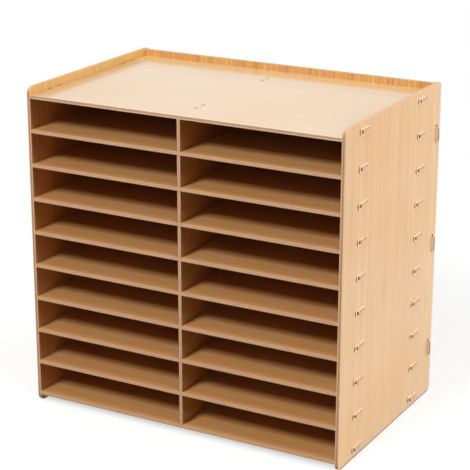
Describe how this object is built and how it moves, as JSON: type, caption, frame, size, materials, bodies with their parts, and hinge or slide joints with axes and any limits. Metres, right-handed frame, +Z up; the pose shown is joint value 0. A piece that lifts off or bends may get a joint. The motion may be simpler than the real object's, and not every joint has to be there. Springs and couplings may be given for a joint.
{
  "type": "file organizer",
  "caption": "Desktop file organizer with two columns of open flat compartments, made of thin wood-look boards locked by tabs, slots and halving notches, with a lipped top.",
  "frame": {"origin": "on the floor under the middle of the footprint", "axes": "+X to the right seen from the open front, +Y to the rear, +Z up"},
  "size_m": [0.498, 0.32, 0.476],
  "materials": {
    "side_board": "satin laminate with upright straight grain, bare cut edges",
    "shelf_board": "satin laminate with straight grain, bare cut edges",
    "top_board": "satin laminate with straight grain along the width, bare cut edges",
    "divider_board": "satin laminate, bare cut edges",
    "back_board": "satin laminate with upright straight grain, bare cut edges"
  },
  "bodies": {
    "root": {"left_side_panel": "side_board", "right_side_panel": "side_board", "bottom_board": "shelf_board", "shelf_1": "shelf_board", "shelf_2": "shelf_board", "shelf_3": "shelf_board", "shelf_4": "shelf_board", "shelf_5": "shelf_board", "shelf_6": "shelf_board", "shelf_7": "shelf_board", "shelf_8": "shelf_board", "top_board": "top_board", "centre_divider": "divider_board", "back_panel": "back_board"}
  },
  "joints": []
}
